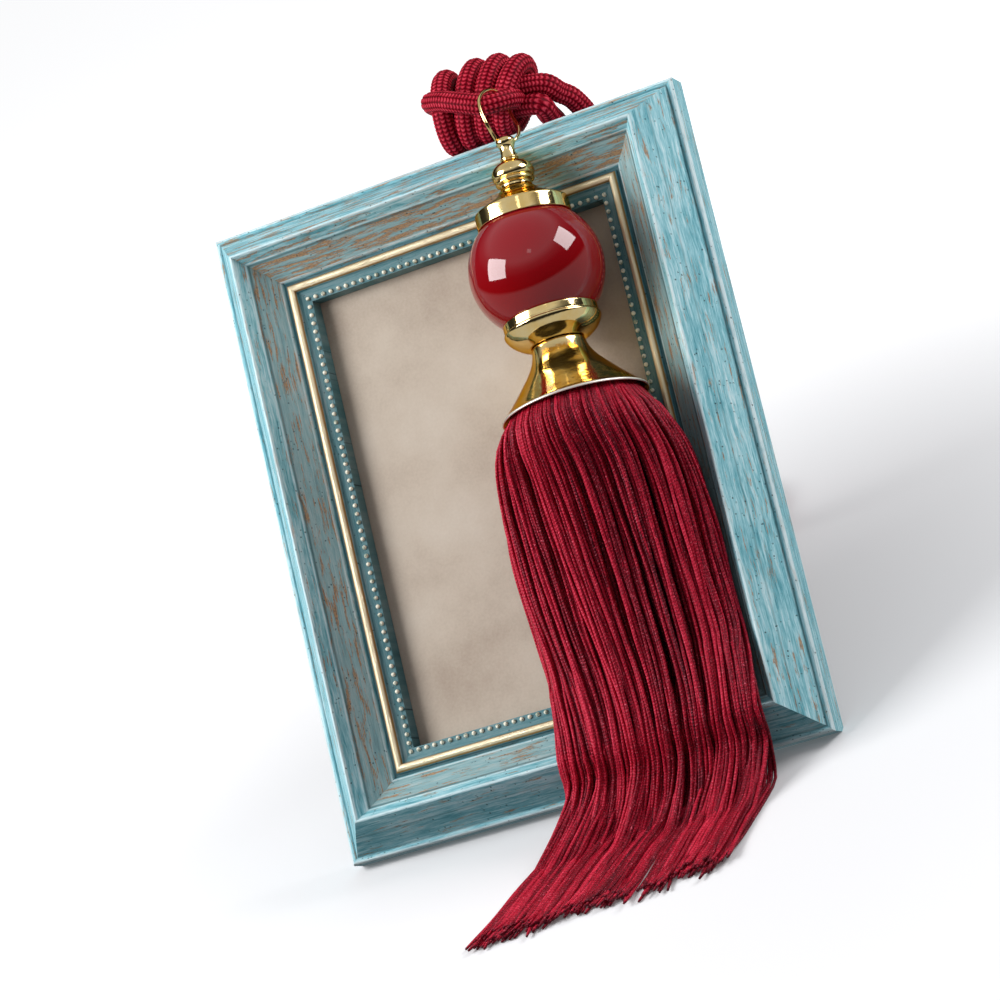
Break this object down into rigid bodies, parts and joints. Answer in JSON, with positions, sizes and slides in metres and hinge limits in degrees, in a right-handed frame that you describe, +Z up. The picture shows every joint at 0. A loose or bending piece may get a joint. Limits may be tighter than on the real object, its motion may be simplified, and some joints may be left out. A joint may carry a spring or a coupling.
{
  "type": "curtain tieback tassel on a picture frame",
  "caption": "Burgundy curtain tieback tassel with a glass-like ball, gold bell, long fringe and rope loop, lying over the top edge of a plain leaning picture frame.",
  "frame": {"origin": "middle of the narrow flat strip on the underside of the bottom rail, on which the picture frame stands", "axes": "+Z up from the floor, +X along the bottom rail to the viewer's right, -Y towards the viewer, on the side where the tassel lies"},
  "size_m": [0.22, 0.34, 0.2641],
  "materials": {
    "yarn": "silky",
    "gold": "polished",
    "ruby": "glossy",
    "turquoise": "worn paint",
    "paper": "plain",
    "board": "plain"
  },
  "bodies": {
    "root": {"knot": "yarn", "rope_loop": "yarn", "ring": "gold", "finial": "gold", "cap": "gold", "ball": "ruby", "cup": "gold", "bell": "gold", "fringe": "yarn", "frame_rail_top": "turquoise", "frame_rail_bottom": "turquoise", "frame_rail_left": "turquoise", "frame_rail_right": "turquoise", "picture_board": "paper", "easel_leg": "board"}
  },
  "joints": []
}
